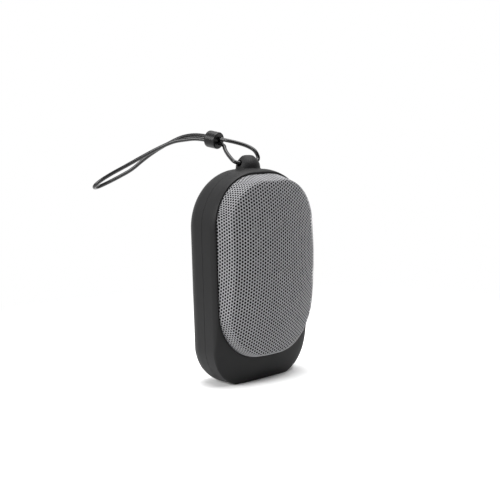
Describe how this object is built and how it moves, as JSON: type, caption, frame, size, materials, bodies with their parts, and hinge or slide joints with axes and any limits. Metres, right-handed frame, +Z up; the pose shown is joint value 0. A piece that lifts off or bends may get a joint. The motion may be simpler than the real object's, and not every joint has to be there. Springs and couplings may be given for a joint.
{
  "type": "shower speaker",
  "caption": "Small upright battery speaker with a pillow-shaped mesh grille, a black rubber shell, a pierced top lug and a cord loop with a slider.",
  "frame": {"origin": "centre of the foot, on the surface that it stands on, under the middle of the housing's box", "axes": "+Z up through the lug, the grille faces -Y, +X to the right of someone who faces the grille"},
  "size_m": [0.0768, 0.1142, 0.1326],
  "materials": {
    "shell_rubber": "soft-touch matt black rubber skin",
    "seal_rubber": "matt black elastomer",
    "carrier_plastic": "matt black",
    "grille_mesh": "grey knitted acoustic mesh",
    "basket_metal": "black powder coat",
    "plated_steel": "zinc plated",
    "ferrite": "dark grey ferrite",
    "coil_copper": "enamelled copper wire",
    "cone_plastic": "matt black polypropylene",
    "spider_cloth": "resin-stiffened cloth",
    "screw_steel": "bright zinc",
    "board_laminate": "green solder mask",
    "shield_steel": "tinned steel",
    "switch_plastic": "black",
    "lamp_clear": "clear moulded",
    "battery_foil": "satin pouch foil",
    "cord_black": "glossy black coated cord",
    "bead_plastic": "satin black",
    "button_rubber": "matt black",
    "lead_red": "red insulated wire"
  },
  "bodies": {
    "housing": {"front_shell": "shell_rubber", "rear_shell": "shell_rubber", "shell_seal": "seal_rubber", "grille_carrier": "carrier_plastic", "grille_cloth": "grille_mesh", "driver_gasket": "seal_rubber", "driver_basket": "basket_metal", "driver_top_plate": "plated_steel", "driver_magnet": "ferrite", "driver_yoke": "plated_steel", "driver_surround": "seal_rubber", "driver_spider": "spider_cloth", "driver_screws": "screw_steel", "shell_screws": "screw_steel", "main_board": "board_laminate", "board_screws": "screw_steel", "radio_module": "shield_steel", "tact_switches": "switch_plastic", "usb_socket": "shield_steel", "status_led": "lamp_clear", "light_pipe": "lamp_clear", "microphone": "shield_steel", "battery_pad": "seal_rubber", "battery": "battery_foil", "driver_leads": "lead_red", "battery_leads": "lead_red"},
    "cone": {"driver_cone": "cone_plastic", "driver_dust_cap": "cone_plastic", "voice_coil": "coil_copper"},
    "strap": {"strap_cord": "cord_black"},
    "bead": {"strap_bead": "bead_plastic"},
    "flap": {"port_flap": "button_rubber"},
    "power_button": {"power_button": "button_rubber"},
    "play_button": {"play_button": "button_rubber"},
    "volume_up_button": {"volume_up_button": "button_rubber"},
    "volume_down_button": {"volume_down_button": "button_rubber"}
  },
  "joints": [
    {"name": "cone_travel", "type": "slide", "parent": "housing", "child": "cone", "axis": [0, -1, 0], "range_m": [-0.001, 0.001], "stiffness_N_per_m": 1200, "deforming": ["driver_surround", "driver_spider"]},
    {"name": "strap_swing", "type": "hinge", "parent": "housing", "child": "strap", "pos_m": [0, 0.0053, 0.115], "axis": [1, 0, 0], "range_deg": [-40, 80]},
    {"name": "bead_slide", "type": "slide", "parent": "strap", "child": "bead", "axis": [-0.1969, 0.9626, 0.186], "range_m": [0, 0.003]},
    {"name": "flap_open", "type": "hinge", "parent": "housing", "child": "flap", "pos_m": [0, 0.01947, 0.01215], "axis": [-1, 0, 0], "range_deg": [0, 90]},
    {"name": "power_press", "type": "slide", "parent": "housing", "child": "power_button", "axis": [0, -1, 0], "range_m": [0, 0.00033], "stiffness_N_per_m": 600},
    {"name": "play_press", "type": "slide", "parent": "housing", "child": "play_button", "axis": [0, -1, 0], "range_m": [0, 0.00033], "stiffness_N_per_m": 600},
    {"name": "volume_up_press", "type": "slide", "parent": "housing", "child": "volume_up_button", "axis": [0, -1, 0], "range_m": [0, 0.00033], "stiffness_N_per_m": 600},
    {"name": "volume_down_press", "type": "slide", "parent": "housing", "child": "volume_down_button", "axis": [0, -1, 0], "range_m": [0, 0.00033], "stiffness_N_per_m": 600}
  ]
}
